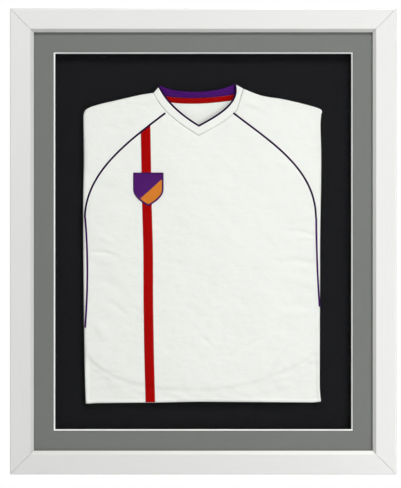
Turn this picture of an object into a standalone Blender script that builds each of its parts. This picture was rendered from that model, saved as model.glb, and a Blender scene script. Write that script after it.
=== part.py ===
"""Wall frame that shows a folded sports shirt behind glazing.

Metres, +Z up. The glazed front faces -Y, and the wall is the plane Y = 0. The origin is the point on the
wall midway between the two ring hangers, at the height of the bars that their rings turn on. Left and right
are as seen from the front. Inside the case, depths run forward from the face that each piece lies on.
"""

import math

import bmesh
import bpy

# Clearances
GAP = 0.0003  # between two pieces that touch or fit together
SHEET_CLEARANCE = 0.001  # on each side, between a sheet and the rebate round it

# Moulding
SIGHT_W = 0.648  # opening inside the lip
SIGHT_H = 0.800
RAIL_W = 0.045
LIP_W = 0.007  # how far the lip stands in over the rebate
LIP_T = 0.007
LIP_SLOPE_W = 0.0065  # sloped inner edge of the face
LIP_DROP = 0.0045
RAIL_EDGE_R = 0.0015

# Sheets in the rebate, front to back
GLAZING_T = 0.002
MOUNT_T = 0.0026
MOUNT_BORDER = 0.038  # what shows of the mount board, from the lip to its bevel
SPACER_D = 0.016
SPACER_W = 0.015
BACKING_T = 0.0015
PANEL_T = 0.003

# Back of the frame
WALL_STANDOFF = 0.006
HANG_DROP = 0.222  # top of the frame down to the rings' bars
BUMPER_R = 0.0065
BUMPER_FROM_CORNER = 0.0195

V_NAIL_SET = 0.020  # outer faces of the moulding to the nail's corner
V_NAIL_LEG = 0.007
V_NAIL_T = 0.0008
V_NAIL_DEPTH = 0.010

# Screws
SCREW_R = 0.00175
SCREW_LENGTH = 0.013
SCREW_POINT = 0.003
PAN_HEAD_R = 0.0034
PAN_HEAD_H = 0.0017
FLAT_HEAD_R = 0.0032
SCREW_SIDES = 12

# Turn buttons
BUTTON_T = 0.0012
BUTTON_W = 0.011
BUTTON_REACH = 0.022  # screw to the end that holds the panel
BUTTON_SET = 0.0065  # screw to the edge of the rebate
BUTTON_FROM_CORNER = 0.110  # along the rebate, from its corner

# Ring hangers
RING_WIRE_R = 0.0012
RING_INNER_W = 0.020
RING_LEG = 0.005  # bar's middle to the start of the ring's round end
RING_CORNER_R = 0.003
STRAP_W = 0.014
STRAP_T = 0.0012
STRAP_LENGTH = 0.038
STRAP_SCREWS = (0.011, 0.029)  # below the bar
STRAP_CURL = 255  # degrees that the strap goes round the bar

# Shirt, folded: places are from the middle of the display, as seen from the front
FABRIC_T = 0.001
FORM_T = 0.005
SLEEVE_T = 0.002  # two thicknesses of fabric, pressed
TRIM_T = 0.0005
COLLAR_T = 0.0012
COLLAR_RIB_W = 0.017
PIPING_W = 0.0028
BINDING_W = 0.0034
HEM_Z = -0.3075
SHOULDER_LEFT = [(-0.0972, 0.2834), (-0.123, 0.2794), (-0.196, 0.2630), (-0.2225, 0.2535), (-0.2286, 0.2400)]
SIDE_LEFT_HEM_X = -0.2240
SIDE_RIGHT_HEM_X = 0.2245
SHOULDER_RIGHT = [(0.2262, 0.2400), (0.2215, 0.2545), (0.158, 0.2716), (0.113, 0.2792), (0.0775, 0.2926)]
NECK_TIP_LEFT = (-0.0842, 0.2961)
NECK_TIP_RIGHT = (0.0604, 0.3006)
COLLAR_SEAM_LEFT = (-0.0961, 0.2840)
COLLAR_SEAM_RIGHT = (0.0765, 0.2932)
NECK_POINT = (-0.0084, 0.2221)  # bottom of the V
NECK_BOW_LEFT = [(-0.066, 0.257)]
NECK_BOW_RIGHT = [(0.035, 0.245), (0.071, 0.268)]
NECK_CUT = [(-0.112, 0.2790), (-0.095, 0.190), (0.078, 0.190), (0.092, 0.2850)]  # in the form board
BACK_NECK = [(-0.013, 0.2745)]
BAND_TOP = [(-0.0830, 0.2960), (-0.0135, 0.2795), (0.0600, 0.3005)]
BAND_SEAM = [(-0.0770, 0.2795), (-0.0135, 0.2690), (0.0640, 0.2830)]
TAPE_EDGE = [(-0.0690, 0.2675), (-0.0130, 0.2590), (0.0600, 0.2715)]
RAGLAN_LEFT = [(-0.0725, 0.2462), (-0.142, 0.193), (-0.2245, 0.134), (-0.2262, 0.050)]
RAGLAN_RIGHT = [(0.0580, 0.2462), (0.130, 0.190), (0.215, 0.140), (0.2160, 0.050)]
SIDE_PIPING_LEFT = [(-0.2255, 0.046), (-0.2185, -0.050), (-0.2250, -0.165)]
SIDE_PIPING_RIGHT = [(0.2165, 0.046), (0.2170, -0.040), (0.2222, -0.125)]
STRIPE_TOP_X = (-0.1195, -0.1010)
STRIPE_HEM_X = (-0.1105, -0.0925)
PATCH_CENTRE = (-0.1050, 0.1000)
PATCH_W = 0.058
PATCH_H = 0.064
SLEEVE_OUTLINE = [(0.219, 0.232), (0.219, 0.058), (0.072, 0.018), (0.060, 0.186)]
PAD_SIZE = 0.050
PAD_HEIGHTS = {"upper": 0.110, "lower": -0.190}

# Worked out from the sizes above
SHEET_W = SIGHT_W + 2 * (LIP_W - SHEET_CLEARANCE)
SHEET_H = SIGHT_H + 2 * (LIP_W - SHEET_CLEARANCE)
OUTER_W = SIGHT_W + 2 * RAIL_W
OUTER_H = SIGHT_H + 2 * RAIL_W
BODY_W = RAIL_W - LIP_W  # solid width of the moulding behind the lip
CASE_Z = HANG_DROP - OUTER_H / 2
GLAZING_Y = LIP_T + GAP  # depths here are from the front of the moulding
MOUNT_Y = GLAZING_Y + GLAZING_T + GAP
SPACER_Y = MOUNT_Y + MOUNT_T + GAP
BACKING_Y = SPACER_Y + SPACER_D + GAP
PANEL_Y = BACKING_Y + BACKING_T + GAP
RAIL_D = PANEL_Y + PANEL_T + GAP
RING_PIVOT = STRAP_T + 2 * GAP + RING_WIRE_R  # bar's middle above the moulding's back


# Materials


def material(name, colour, roughness, metallic=0.0, alpha=1.0):
    made = bpy.data.materials.new(name)
    made.use_nodes = True
    shader = made.node_tree.nodes["Principled BSDF"]
    shader.inputs["Base Color"].default_value = (*colour, 1.0)
    shader.inputs["Roughness"].default_value = roughness
    shader.inputs["Metallic"].default_value = metallic
    shader.inputs["Alpha"].default_value = alpha
    made.diffuse_color = (*colour, alpha)
    return made


# Outlines: lists of (x, z), and paths through them


def bezier(controls, steps):
    """Points along a Bezier curve of any degree, both ends included."""
    points = []
    for step in range(steps + 1):
        t = step / steps
        level = list(controls)
        while len(level) > 1:
            level = [
                ((1 - t) * a[0] + t * b[0], (1 - t) * a[1] + t * b[1])
                for a, b in zip(level, level[1:])
            ]
        points.append(level[0])
    return points


def offset_path(path, distance):
    """An open path moved to its own left by distance, with mitred corners."""
    normals = []
    for (ax, az), (bx, bz) in zip(path, path[1:]):
        length = math.hypot(bx - ax, bz - az)
        normals.append(((az - bz) / length, (bx - ax) / length))
    before = [normals[0]] + normals
    after = normals + [normals[-1]]
    moved = []
    for (x, z), (px, pz), (qx, qz) in zip(path, before, after):
        share = distance / (1 + px * qx + pz * qz)
        moved.append((x + share * (px + qx), z + share * (pz + qz)))
    return moved


def strip(path, width):
    """The outline of a strip of even width that runs along a path."""
    return offset_path(path, width / 2) + offset_path(path, -width / 2)[::-1]


def arc(centre, radius, start, end, steps):
    """Points on an arc, in degrees from +x towards +z, both ends included."""
    turns = [math.radians(start + (end - start) * step / steps) for step in range(steps + 1)]
    return [(centre[0] + radius * math.cos(a), centre[1] + radius * math.sin(a)) for a in turns]


def circle(centre, radius, sides):
    return arc(centre, radius, 0, 360, sides)[:-1]


# Meshes


def finish(name, bm, mat, parent=None, location=(0, 0, 0)):
    """Makes the named object from a bmesh, with its faces pointing out."""
    bmesh.ops.recalc_face_normals(bm, faces=bm.faces[:])
    mesh = bpy.data.meshes.new(name)
    bm.to_mesh(mesh)
    bm.free()
    if mat:
        mesh.materials.append(mat)
    made = bpy.data.objects.new(name, mesh)
    bpy.context.collection.objects.link(made)
    made.parent = parent
    made.location = location
    return made


def add_closed_rings(bm, rings):
    """Quads between rings of equal length, and a cap on the first and the last ring."""
    rows = [[bm.verts.new(point) for point in ring] for ring in rings]
    for row, following in zip(rows, rows[1:]):
        for i, vert in enumerate(row):
            j = (i + 1) % len(row)
            bm.faces.new((vert, row[j], following[j], following[i]))
    bm.faces.new(rows[0])
    bm.faces.new(rows[-1])


def add_prism(bm, outline, y_near, y_far):
    """A flat outline in x and z, given depth from y_near to y_far."""
    add_closed_rings(bm, [[(x, y, z) for x, z in outline] for y in (y_near, y_far)])


def prism(name, outline, y_near, y_far, mat, parent=None, location=(0, 0, 0)):
    bm = bmesh.new()
    add_prism(bm, outline, y_near, y_far)
    return finish(name, bm, mat, parent, location)


def rectangle(width, height, centre=(0.0, 0.0)):
    x, z = centre
    return [
        (x - width / 2, z - height / 2),
        (x + width / 2, z - height / 2),
        (x + width / 2, z + height / 2),
        (x - width / 2, z + height / 2),
    ]


def add_turned(bm, profile, centre, sides):
    """A turned solid about a line along Y. profile holds (radius, y), from one end to the other."""
    x, y0, z = centre
    rows = []
    for radius, y in profile:
        if radius == 0:
            rows.append([bm.verts.new((x, y0 + y, z))])
        else:
            rows.append([bm.verts.new((px, y0 + y, pz)) for px, pz in circle((x, z), radius, sides)])
    for row, following in zip(rows, rows[1:]):
        for i in range(sides):
            j = (i + 1) % sides
            near = [row[i % len(row)], row[j % len(row)]]
            far = [following[j % len(following)], following[i % len(following)]]
            bm.faces.new(list(dict.fromkeys(near + far)))


def turned(name, profile, mat, parent, location, sides=SCREW_SIDES):
    bm = bmesh.new()
    add_turned(bm, profile, (0, 0, 0), sides)
    made = finish(name, bm, mat, parent, location)
    made.data.shade_smooth()
    made.data.set_sharp_from_angle(angle=math.radians(30))
    return made


def cut(solid, bm, name):
    """Cuts a bmesh, given in the solid's own space, out of the solid."""
    cutter = finish(name, bm, None, solid.parent, solid.location)
    cutter.hide_render = True
    cutter.display_type = "WIRE"
    boolean = solid.modifiers.new("cut", "BOOLEAN")
    boolean.operation = "DIFFERENCE"
    boolean.solver = "EXACT"
    boolean.object = cutter


# Moulding


def rail_profile():
    """The moulding's section: (distance in from the outer edge, depth from the front)."""
    corner = arc((RAIL_EDGE_R, RAIL_EDGE_R), RAIL_EDGE_R, 180, 270, 3)
    return corner + [
        (RAIL_W - LIP_SLOPE_W, 0.0),
        (RAIL_W, LIP_DROP),
        (RAIL_W, LIP_T),
        (BODY_W, LIP_T),
        (BODY_W, RAIL_D),
        (0.0, RAIL_D),
    ]


def v_nail_outline(side_x, side_z, width, leg):
    """An L across the mitre: one leg in the side rail, one in the top or bottom rail."""
    half = width / 2
    corner_x = OUTER_W / 2 - V_NAIL_SET
    corner_z = OUTER_H / 2 - V_NAIL_SET
    shape = [(-half, -half), (leg, -half), (leg, half), (half, half), (half, leg), (-half, leg)]
    return [(side_x * (corner_x + a), side_z * (corner_z + b)) for a, b in shape]


CORNERS = {
    "top_left": (-1, 1),
    "top_right": (1, 1),
    "bottom_left": (-1, -1),
    "bottom_right": (1, -1),
}
# Direction from the middle of the frame to each rail
RAILS = {"top": (0, 1), "bottom": (0, -1), "left": (-1, 0), "right": (1, 0)}


def button_places():
    """Name of each turn button: its screw's (x, z) and the direction to its rail."""
    across = SIGHT_W / 2 + LIP_W + BUTTON_SET
    up = SIGHT_H / 2 + LIP_W + BUTTON_SET
    along_x = SIGHT_W / 2 + LIP_W - BUTTON_FROM_CORNER
    along_z = SIGHT_H / 2 + LIP_W - BUTTON_FROM_CORNER
    places = {}
    for rail, (dx, dz) in RAILS.items():
        ends = {"left": -1, "right": 1} if dz else {"upper": 1, "lower": -1}
        for end, sign in ends.items():
            if dz:
                places[f"{rail}_{end}"] = ((sign * along_x, dz * up), (dx, dz))
            else:
                places[f"{rail}_{end}"] = ((dx * across, sign * along_z), (dx, dz))
    return places


def strap_screw_places():
    """Name of each strap screw: its (x, z) in the case, and the direction to its rail."""
    places = {}
    for side, sign in (("left", -1), ("right", 1)):
        for level, below in zip(("upper", "lower"), STRAP_SCREWS):
            x = sign * (OUTER_W / 2 - BODY_W / 2)
            places[f"{side}_{level}"] = ((x, -CASE_Z - below), (sign, 0))
    return places


def make_rail(name, direction, case, mat):
    """One mitred length of moulding, with the slots and pilot holes of its fastenings."""
    dx, dz = direction
    half_length = (OUTER_H if dx else OUTER_W) / 2
    half_across = (OUTER_W if dx else OUTER_H) / 2
    mitre_gap = GAP / math.sqrt(2)
    bm = bmesh.new()
    ends = []
    for sign in (-1, 1):
        ring = []
        for inward, depth in rail_profile():
            across = half_across - inward
            along = sign * (half_length - inward - mitre_gap)
            place = (dx * across, depth - RAIL_D, along) if dx else (along, depth - RAIL_D, dz * across)
            ring.append(place)
        ends.append(ring)
    add_closed_rings(bm, ends)
    rail = finish(f"rail_{name}", bm, mat, case)

    holes = bmesh.new()
    for side_x, side_z in CORNERS.values():
        if direction in ((side_x, 0), (0, side_z)):
            slot = v_nail_outline(side_x, side_z, V_NAIL_T + 2 * GAP, V_NAIL_LEG + GAP)
            add_prism(holes, slot, -V_NAIL_DEPTH - 2 * GAP, GAP)
    pilot = [(0, -SCREW_LENGTH - GAP), (SCREW_R + GAP, -SCREW_LENGTH - GAP), (SCREW_R + GAP, GAP), (0, GAP)]
    for (x, z), towards in (*button_places().values(), *strap_screw_places().values()):
        if towards == direction:
            add_turned(holes, pilot, (x, 0, z), SCREW_SIDES)
    cut(rail, holes, f"holes_{name}")


def make_v_nails(case, mat):
    for name, (side_x, side_z) in CORNERS.items():
        outline = v_nail_outline(side_x, side_z, V_NAIL_T, V_NAIL_LEG)
        prism(f"v_nail_{name}", outline, -V_NAIL_DEPTH - GAP, -GAP, mat, case)


# Sheets and spacers


def make_sheet(name, depth, thickness, case, mat):
    y = depth - RAIL_D
    prism(name, rectangle(SHEET_W, SHEET_H), y, y + thickness, mat, case)


def make_mount_board(case, mat):
    """A board with a window whose edge is bevelled at 45 degrees, narrowing to the back."""
    window_w = SIGHT_W - 2 * MOUNT_BORDER
    window_h = SIGHT_H - 2 * MOUNT_BORDER
    front = MOUNT_Y - RAIL_D
    back = front + MOUNT_T
    loops = [
        (rectangle(SHEET_W, SHEET_H), front),
        (rectangle(window_w, window_h), front),
        (rectangle(window_w - 2 * MOUNT_T, window_h - 2 * MOUNT_T), back),
        (rectangle(SHEET_W, SHEET_H), back),
    ]
    bm = bmesh.new()
    rows = [[bm.verts.new((x, y, z)) for x, z in outline] for outline, y in loops]
    for row, following in zip(rows, rows[1:] + rows[:1]):
        for i in range(4):
            j = (i + 1) % 4
            bm.faces.new((row[i], row[j], following[j], following[i]))
    finish("mount_board", bm, mat, case)


def make_spacers(case, mat):
    y = SPACER_Y - RAIL_D
    up = (SHEET_H - SPACER_W) / 2
    across = (SHEET_W - SPACER_W) / 2
    side_height = SHEET_H - 2 * (SPACER_W + GAP)
    bars = {
        "top": rectangle(SHEET_W, SPACER_W, (0, up)),
        "bottom": rectangle(SHEET_W, SPACER_W, (0, -up)),
        "left": rectangle(SPACER_W, side_height, (-across, 0)),
        "right": rectangle(SPACER_W, side_height, (across, 0)),
    }
    for name, outline in bars.items():
        prism(f"spacer_{name}", outline, y, y + SPACER_D, mat, case)


# Shirt: the parent sits on the backing board's face, so a depth d forward of it is y = -d

SLEEVE_D = GAP
BACK_D = SLEEVE_D + SLEEVE_T + GAP
INSIDE_D = BACK_D + FABRIC_T + GAP
FRONT_D = INSIDE_D + FORM_T + GAP
TRIM_D = FRONT_D + FABRIC_T + GAP
PATCH_D = TRIM_D + TRIM_T + GAP


def layer(name, outline, depth, thickness, shirt, mat):
    return prism(name, outline, -depth - thickness, -depth, mat, shirt)


def body_edge():
    """The folded shirt's edge, from the collar down the left side, along the hem and up the right."""
    hem = [(SIDE_LEFT_HEM_X, HEM_Z), (SIDE_RIGHT_HEM_X, HEM_Z)]
    return SHOULDER_LEFT + hem + SHOULDER_RIGHT


def neck_edge():
    """The V-shaped edge of the neck opening, from the left tip to the right tip."""
    left = bezier([NECK_TIP_LEFT, *NECK_BOW_LEFT, NECK_POINT], 8)
    right = bezier([NECK_POINT, *NECK_BOW_RIGHT, NECK_TIP_RIGHT], 8)
    return left + right[1:]


def collar_seam(beyond=0.0):
    """The line where the collar rib meets the front panel, without its two ends."""
    return offset_path(neck_edge(), -COLLAR_RIB_W - beyond)[2:-3]


def make_jersey_front(shirt, mat):
    """The front panel: a sheet whose outer edges turn back round the form board. It is open at the neck."""
    outer = body_edge()
    inner = offset_path(outer, FABRIC_T)
    neck = collar_seam(GAP)
    y_front = -FRONT_D - FABRIC_T
    y_under = -FRONT_D
    y_back = -INSIDE_D
    bm = bmesh.new()

    def row(points, y):
        return [bm.verts.new((x, y, z)) for x, z in points]

    outer_front, outer_back = row(outer, y_front), row(outer, y_back)
    inner_back, inner_under = row(inner, y_back), row(inner, y_under)
    neck_front, neck_under = row(neck, y_front), row(neck, y_under)
    start_under, end_under = row([outer[0], outer[-1]], y_under)
    for near, far in ((outer_front, outer_back), (outer_back, inner_back), (inner_back, inner_under)):
        for i in range(len(near) - 1):
            bm.faces.new((near[i], near[i + 1], far[i + 1], far[i]))
    edge_front = [outer_front[0], *neck_front, outer_front[-1]]
    edge_under = [start_under, *neck_under, end_under]
    for i in range(len(edge_front) - 1):
        bm.faces.new((edge_front[i], edge_front[i + 1], edge_under[i + 1], edge_under[i]))
    bm.faces.new((outer_front[0], outer_back[0], inner_back[0], inner_under[0], start_under))
    bm.faces.new((outer_front[-1], outer_back[-1], inner_back[-1], inner_under[-1], end_under))
    bm.faces.new(outer_front + neck_front[::-1])
    bm.faces.new(inner_under + edge_under[::-1])
    finish("jersey_front", bm, mat, shirt)


def make_collar(shirt, white, purple, red, indigo):
    rib = [COLLAR_SEAM_LEFT, *collar_seam(), COLLAR_SEAM_RIGHT]
    layer("collar_rib", neck_edge() + rib[::-1], FRONT_D, FABRIC_T, shirt, white)
    binding = neck_edge() + offset_path(neck_edge(), -BINDING_W)[::-1]
    layer("neck_binding", binding, TRIM_D, TRIM_T, shirt, indigo)
    seam = bezier(BAND_SEAM, 8)
    layer("collar_band", bezier(BAND_TOP, 8) + seam[::-1], INSIDE_D, COLLAR_T, shirt, purple)
    tape = offset_path(seam, -GAP) + bezier(TAPE_EDGE, 8)[::-1]
    layer("neck_tape", tape, INSIDE_D, TRIM_T, shirt, red)


def make_form_board(shirt, mat):
    inside = offset_path(body_edge(), FABRIC_T + GAP)
    notch = bezier(NECK_CUT, 12)
    outline = notch[:1] + inside[1:-1] + notch[:0:-1]
    layer("form_board", outline, INSIDE_D, FORM_T, shirt, mat)


def make_jersey_back(shirt, white):
    """The back panel and, flat behind it, the two sleeves and the pads that fix the shirt."""
    edge = body_edge()
    neck = bezier([edge[-1], *BACK_NECK, edge[0]], 6)
    layer("jersey_back", edge + neck[1:-1], BACK_D, FABRIC_T, shirt, white)
    for side, sign in (("left", -1), ("right", 1)):
        outline = [(sign * x, z) for x, z in SLEEVE_OUTLINE]
        layer(f"sleeve_{side}", outline, SLEEVE_D, SLEEVE_T, shirt, white)


def make_fixing_pads(shirt, mat):
    for name, z in PAD_HEIGHTS.items():
        outline = rectangle(PAD_SIZE, PAD_SIZE, (0, z))
        layer(f"fixing_pad_{name}", outline, SLEEVE_D, SLEEVE_T, shirt, mat)


def shield():
    """A plain shield: flat top, straight sides that curve in to a point."""
    x, z = PATCH_CENTRE
    half = PATCH_W / 2
    top = z + PATCH_H / 2
    tip = (x, z - PATCH_H / 2)
    left = bezier([(x - half, z), (x - half, z - PATCH_H / 4), tip], 5)
    right = bezier([tip, (x + half, z - PATCH_H / 4), (x + half, z)], 5)
    return [(x - half, top), *left, *right[1:], (x + half, top)]


def height_on(path, x):
    """The z of a path at x."""
    for (ax, az), (bx, bz) in zip(path, path[1:]):
        if min(ax, bx) <= x <= max(ax, bx):
            return az + (bz - az) * (x - ax) / (bx - ax)
    return path[-1][1]


def stripe_outline():
    """The stripe runs from the left raglan piping, which cuts its top, down to the hem."""
    seam = offset_path(bezier(RAGLAN_LEFT, 12), PIPING_W / 2 + GAP)
    top = [(x, height_on(seam, x)) for x in STRIPE_TOP_X]
    hem = [(x, HEM_Z + FABRIC_T) for x in STRIPE_HEM_X]
    return top + hem[::-1]


def make_trims(shirt, indigo, red, purple):
    pipings = {
        "raglan_piping_left": RAGLAN_LEFT,
        "raglan_piping_right": RAGLAN_RIGHT,
        "side_piping_left": SIDE_PIPING_LEFT,
        "side_piping_right": SIDE_PIPING_RIGHT,
    }
    for name, controls in pipings.items():
        outline = strip(bezier(controls, 12), PIPING_W)
        layer(name, outline, TRIM_D, TRIM_T, shirt, indigo)
    layer("chest_stripe", stripe_outline(), TRIM_D, TRIM_T, shirt, red)
    layer("chest_patch", shield(), PATCH_D, TRIM_T, shirt, purple)


# Back of the frame: the parent sits on the moulding's back, so a height h off it is y = h


def make_turn_buttons(case, mat):
    half = BUTTON_W / 2
    outline = arc((BUTTON_REACH - half, 0), half, -90, 90, 6) + arc((0, 0), half, 90, 270, 6)
    hole = circle((0, 0), SCREW_R + GAP, SCREW_SIDES)
    shape = bmesh.new()
    edges = []
    for loop in (outline, hole):
        verts = [shape.verts.new((x, 0, z)) for x, z in loop]
        edges += [shape.edges.new(pair) for pair in zip(verts, verts[1:] + verts[:1])]
    bmesh.ops.triangle_fill(shape, edges=edges, use_beauty=True)
    raised = bmesh.ops.extrude_face_region(shape, geom=shape.faces[:])
    verts = [item for item in raised["geom"] if isinstance(item, bmesh.types.BMVert)]
    bmesh.ops.translate(shape, verts=verts, vec=(0, BUTTON_T, 0))
    for name, ((x, z), (dx, dz)) in button_places().items():
        button = finish(f"turn_button_{name}", shape.copy(), mat, case, (x, GAP, z))
        button.rotation_euler.y = math.atan2(dz, -dx)
    shape.free()


def make_button_screws(case, mat):
    profile = [
        (0, -SCREW_LENGTH),
        (SCREW_R, SCREW_POINT - SCREW_LENGTH),
        (SCREW_R, BUTTON_T + 2 * GAP),
        (PAN_HEAD_R, BUTTON_T + 2 * GAP),
        (PAN_HEAD_R, BUTTON_T + 2 * GAP + PAN_HEAD_H / 2),
        (PAN_HEAD_R * 0.7, BUTTON_T + 2 * GAP + PAN_HEAD_H),
        (0, BUTTON_T + 2 * GAP + PAN_HEAD_H),
    ]
    for name, ((x, z), _) in button_places().items():
        turned(f"button_screw_{name}", profile, mat, case, (x, 0, z))


def make_hanger_screws(case, mat):
    top = GAP + STRAP_T
    neck = top - (FLAT_HEAD_R - SCREW_R)
    profile = [
        (0, -SCREW_LENGTH),
        (SCREW_R, SCREW_POINT - SCREW_LENGTH),
        (SCREW_R, neck),
        (FLAT_HEAD_R, top),
        (0, top),
    ]
    for name, ((x, z), _) in strap_screw_places().items():
        turned(f"hanger_screw_{name}", profile, mat, case, (x, 0, z))


def strap_outline():
    """The strap's side view, (height off the moulding, z): flat, then curled round the ring's bar."""
    radius = RING_WIRE_R + GAP + STRAP_T / 2
    curl = arc((RING_PIVOT, 0), radius, 180, 180 - STRAP_CURL, 12)
    return strip([(RING_PIVOT - radius, -STRAP_LENGTH), *curl], STRAP_T)


def make_strap(name, x, case, mat):
    bm = bmesh.new()
    sides = [[(side * STRAP_W / 2, height, z) for height, z in strap_outline()] for side in (-1, 1)]
    add_closed_rings(bm, sides)
    strap = finish(f"hanger_strap_{name}", bm, mat, case, (x, 0, -CASE_Z))
    top = GAP + STRAP_T
    slack = FLAT_HEAD_R + GAP
    countersink = [
        (0, -GAP),
        (SCREW_R + GAP, -GAP),
        (SCREW_R + GAP, top - (slack - SCREW_R - GAP)),
        (slack, top),
        (slack, top + GAP),
        (0, top + GAP),
    ]
    holes = bmesh.new()
    for below in STRAP_SCREWS:
        add_turned(holes, countersink, (0, 0, -below), SCREW_SIDES)
    cut(strap, holes, f"holes_strap_{name}")


def ring_path():
    """The ring's wire, (x, z) about its bar: bar, rounded corners, short legs and a half circle."""
    half = RING_INNER_W / 2 + RING_WIRE_R
    inset = half - RING_CORNER_R
    left = arc((-inset, -RING_CORNER_R), RING_CORNER_R, 90, 180, 4)
    right = arc((inset, -RING_CORNER_R), RING_CORNER_R, 0, 90, 4)
    return left + arc((0, -RING_LEG), half, 180, 360, 14) + right


def make_ring(name, x, case, mat):
    curve = bpy.data.curves.new(f"d_ring_{name}", "CURVE")
    curve.dimensions = "3D"
    curve.bevel_depth = RING_WIRE_R
    curve.bevel_resolution = 2
    path = ring_path()
    spline = curve.splines.new("POLY")
    spline.points.add(len(path) - 1)
    for point, (px, pz) in zip(spline.points, path):
        point.co = (px, 0, pz, 1)
    spline.use_cyclic_u = True
    curve.materials.append(mat)
    ring = bpy.data.objects.new(f"d_ring_{name}", curve)
    bpy.context.collection.objects.link(ring)
    ring.parent = case
    ring.location = (x, RING_PIVOT, -CASE_Z)


def make_bumpers(case, mat):
    profile = [
        (0, GAP),
        (BUMPER_R, GAP),
        (BUMPER_R * 0.95, WALL_STANDOFF * 0.7),
        (BUMPER_R * 0.75, WALL_STANDOFF),
        (0, WALL_STANDOFF),
    ]
    z = BUMPER_FROM_CORNER - OUTER_H / 2
    for name, sign in (("left", -1), ("right", 1)):
        x = sign * (OUTER_W / 2 - BUMPER_FROM_CORNER)
        turned(f"bumper_{name}", profile, mat, case, (x, 0, z), 20)


def empty(name, location, parent=None):
    made = bpy.data.objects.new(name, None)
    bpy.context.collection.objects.link(made)
    made.parent = parent
    made.location = location
    return made


def main():
    for old in list(bpy.data.objects):
        bpy.data.objects.remove(old, do_unlink=True)

    silver = material("silver moulding", (0.78, 0.78, 0.76), 0.35, 0.3)
    clear = material("clear glazing", (0.95, 0.97, 0.97), 0.02, 0.0, 0.2)
    grey_board = material("grey mount board", (0.19, 0.2, 0.19), 0.9)
    black_board = material("black board", (0.012, 0.012, 0.013), 0.85)
    hardboard = material("hardboard", (0.28, 0.17, 0.09), 0.7)
    foam = material("white foam board", (0.85, 0.85, 0.84), 0.8)
    white_cloth = material("white knit", (0.82, 0.83, 0.8), 0.85)
    purple_cloth = material("purple knit", (0.06, 0.008, 0.13), 0.8)
    red_cloth = material("red knit", (0.36, 0.003, 0.003), 0.8)
    indigo_cloth = material("indigo piping", (0.01, 0.003, 0.025), 0.7)
    pad_foam = material("pad foam", (0.6, 0.6, 0.58), 0.9)
    steel = material("zinc steel", (0.62, 0.63, 0.65), 0.3, 1.0)
    rubber = material("black rubber", (0.02, 0.02, 0.02), 0.7)

    case = empty("case_back", (0, -WALL_STANDOFF, CASE_Z))
    shirt = empty("backing_face", (0, BACKING_Y - RAIL_D, 0), case)

    for name, direction in RAILS.items():
        make_rail(name, direction, case, silver)
    make_v_nails(case, steel)
    make_sheet("glazing", GLAZING_Y, GLAZING_T, case, clear)
    make_mount_board(case, grey_board)
    make_spacers(case, black_board)
    make_sheet("backing_board", BACKING_Y, BACKING_T, case, black_board)
    make_sheet("back_panel", PANEL_Y, PANEL_T, case, hardboard)

    make_form_board(shirt, foam)
    make_jersey_back(shirt, white_cloth)
    make_fixing_pads(shirt, pad_foam)
    make_jersey_front(shirt, white_cloth)
    make_collar(shirt, white_cloth, purple_cloth, red_cloth, indigo_cloth)
    make_trims(shirt, indigo_cloth, red_cloth, purple_cloth)

    make_turn_buttons(case, steel)
    make_button_screws(case, steel)
    make_hanger_screws(case, steel)
    for name, sign in (("left", -1), ("right", 1)):
        x = sign * (OUTER_W / 2 - BODY_W / 2)
        make_strap(name, x, case, steel)
        make_ring(name, x, case, steel)
    make_bumpers(case, rubber)


main()
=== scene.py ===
"""Looks of the jersey display frame: its finishes, the folded shirt and the small hardware."""

import math

import bmesh
import bpy
import numpy as np
from mathutils import Matrix, Vector
from mathutils.geometry import delaunay_2d_cdt


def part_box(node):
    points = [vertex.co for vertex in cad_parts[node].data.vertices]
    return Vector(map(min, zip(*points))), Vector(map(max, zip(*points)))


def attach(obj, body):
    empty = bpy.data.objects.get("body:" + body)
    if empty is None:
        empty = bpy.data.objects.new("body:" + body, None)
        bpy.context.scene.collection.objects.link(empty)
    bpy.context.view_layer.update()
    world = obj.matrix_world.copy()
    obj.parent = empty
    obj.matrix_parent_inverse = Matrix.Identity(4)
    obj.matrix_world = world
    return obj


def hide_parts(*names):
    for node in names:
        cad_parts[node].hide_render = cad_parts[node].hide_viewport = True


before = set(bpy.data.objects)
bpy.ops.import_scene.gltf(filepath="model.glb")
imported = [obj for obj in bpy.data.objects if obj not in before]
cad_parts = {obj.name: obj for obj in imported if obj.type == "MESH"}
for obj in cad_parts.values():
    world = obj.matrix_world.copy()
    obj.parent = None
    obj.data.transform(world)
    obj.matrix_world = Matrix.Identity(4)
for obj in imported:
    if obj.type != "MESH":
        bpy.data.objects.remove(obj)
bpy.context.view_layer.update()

# --- Places, from the frame ---

CASE_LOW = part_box("rail_left")[0].copy()
CASE_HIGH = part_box("rail_right")[1].copy()
FACE_Y = CASE_LOW.y
BACK_Y = CASE_HIGH.y
CENTRE_Z = (CASE_LOW.z + CASE_HIGH.z) / 2
FRONT_LOW, FRONT_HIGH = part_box("jersey_front")
BOARD_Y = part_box("form_board")[0].y

# Cloth
PUFF = 0.0020  # how far the dressed cloth stands off the form board's face
CLOTH_T = 0.0007
LAYER_GAP = 0.0002  # the least between two layers
EDGE_R = 0.0015  # roll of the front over the form board's edge
TURN_IN = 0.010  # width of the front that turns in behind the board
FRONT_RIM = 0.003  # spacing of the front's points along its rim
FRONT_GRID = 0.0026  # and inside it
CLOTH_Y = FRONT_LOW.y - PUFF  # face of the shirt's front
WRAP_Y = FRONT_HIGH.y  # where its edges turn in behind
INSIDE_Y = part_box("jersey_back")[0].y  # inner face of the back panel
RIB_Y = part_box("collar_rib")[0].y - PUFF

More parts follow.
